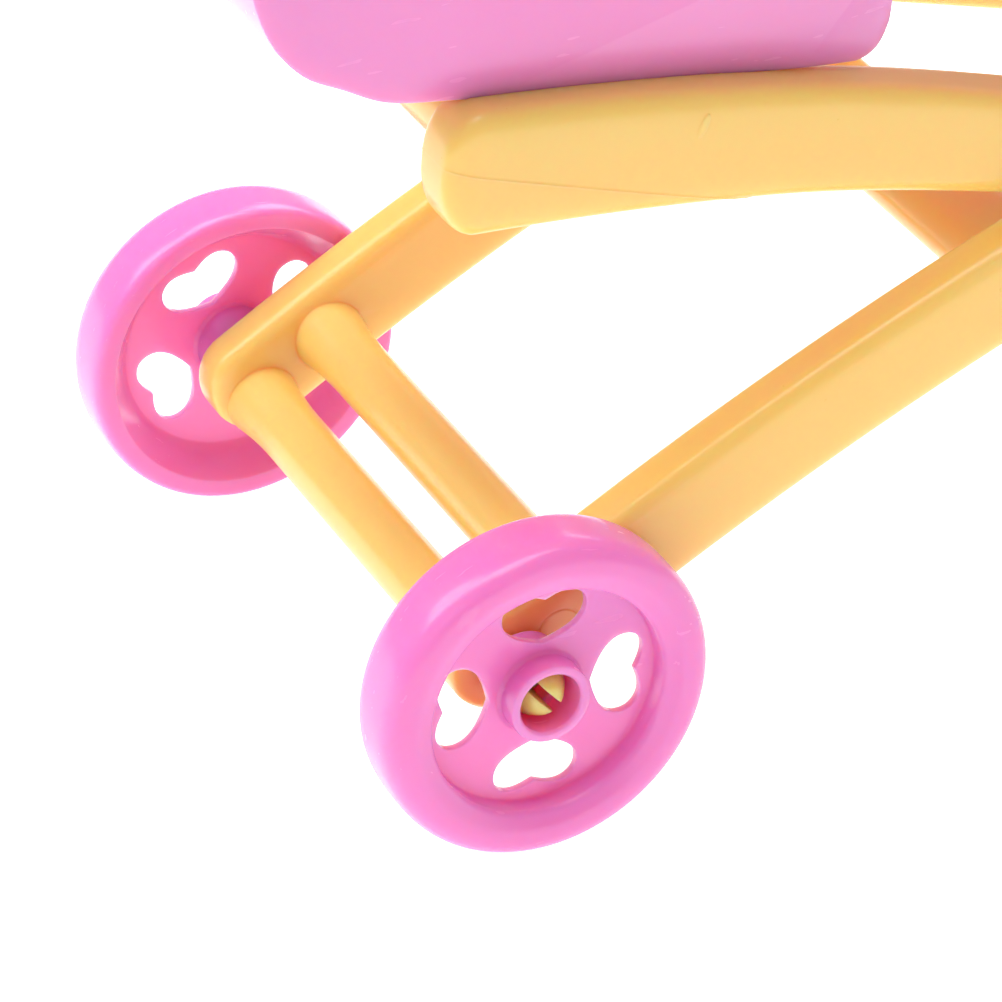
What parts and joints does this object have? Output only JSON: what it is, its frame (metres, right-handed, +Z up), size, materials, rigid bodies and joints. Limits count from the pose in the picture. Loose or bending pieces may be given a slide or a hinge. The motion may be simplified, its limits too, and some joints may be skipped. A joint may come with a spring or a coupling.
{
  "type": "doll stroller",
  "caption": "Small plastic doll stroller with crossing arched leg frames, pinned wheels with heart holes, a tub seat, a two-panel hood and a push handle.",
  "frame": {"origin": "on the floor, under the middle of the overall box", "axes": "+Z up, -Y the way it rolls forward, +X to the side of the right-named wheels"},
  "size_m": [0.071, 0.1906, 0.1598],
  "materials": {
    "yellow_plastic": "glossy, slightly translucent moulded plastic",
    "wheel_pink_plastic": "glossy moulded plastic",
    "seat_lilac_plastic": "glossy moulded plastic"
  },
  "bodies": {
    "front_frame": {"front_leg_frame": "yellow_plastic", "leg_pivot_right": "yellow_plastic", "leg_pivot_left": "yellow_plastic", "push_handle": "yellow_plastic", "handle_pin_right": "yellow_plastic", "handle_pin_left": "yellow_plastic", "seat_hinge_right": "yellow_plastic", "seat_hinge_left": "yellow_plastic"},
    "rear_frame": {"rear_leg_frame": "yellow_plastic"},
    "seat": {"seat_tub": "seat_lilac_plastic", "hood_pin_right": "yellow_plastic", "hood_pin_left": "yellow_plastic"},
    "rear_hood": {"hood_rear": "seat_lilac_plastic"},
    "front_hood": {"hood_front": "seat_lilac_plastic"},
    "front_right_wheel": {"wheel_front_right": "wheel_pink_plastic"},
    "front_left_wheel": {"wheel_front_left": "wheel_pink_plastic"},
    "rear_right_wheel": {"wheel_rear_right": "wheel_pink_plastic"},
    "rear_left_wheel": {"wheel_rear_left": "wheel_pink_plastic"}
  },
  "joints": [
    {"name": "frame_fold", "type": "hinge", "parent": "front_frame", "child": "rear_frame", "pos_m": [0, -0.00435, 0.04664], "axis": [-1, 0, 0], "range_deg": [0, 50]},
    {"name": "seat_tip", "type": "hinge", "parent": "front_frame", "child": "seat", "pos_m": [0, 0.08, 0.11125], "axis": [-1, 0, 0], "range_deg": [0, 30]},
    {"name": "hood_rear_fold", "type": "hinge", "parent": "seat", "child": "rear_hood", "pos_m": [0, 0.03065, 0.11125], "axis": [-1, 0, 0], "range_deg": [0, 18]},
    {"name": "hood_front_fold", "type": "hinge", "parent": "seat", "child": "front_hood", "pos_m": [0, 0.03065, 0.11125], "axis": [-1, 0, 0], "range_deg": [0, 76]},
    {"name": "front_right_spin", "type": "hinge", "parent": "front_frame", "child": "front_right_wheel", "pos_m": [0.0321, -0.07335, 0.01525], "axis": [1, 0, 0], "continuous": true},
    {"name": "front_left_spin", "type": "hinge", "parent": "front_frame", "child": "front_left_wheel", "pos_m": [-0.0321, -0.07335, 0.01525], "axis": [1, 0, 0], "continuous": true},
    {"name": "rear_right_spin", "type": "hinge", "parent": "rear_frame", "child": "rear_right_wheel", "pos_m": [0.0321, 0.06465, 0.01525], "axis": [1, 0, 0], "continuous": true},
    {"name": "rear_left_spin", "type": "hinge", "parent": "rear_frame", "child": "rear_left_wheel", "pos_m": [-0.0321, 0.06465, 0.01525], "axis": [1, 0, 0], "continuous": true}
  ],
  "couplings": [
    {"joint": "seat_tip", "follows": "frame_fold", "ratio": 0.6}
  ]
}
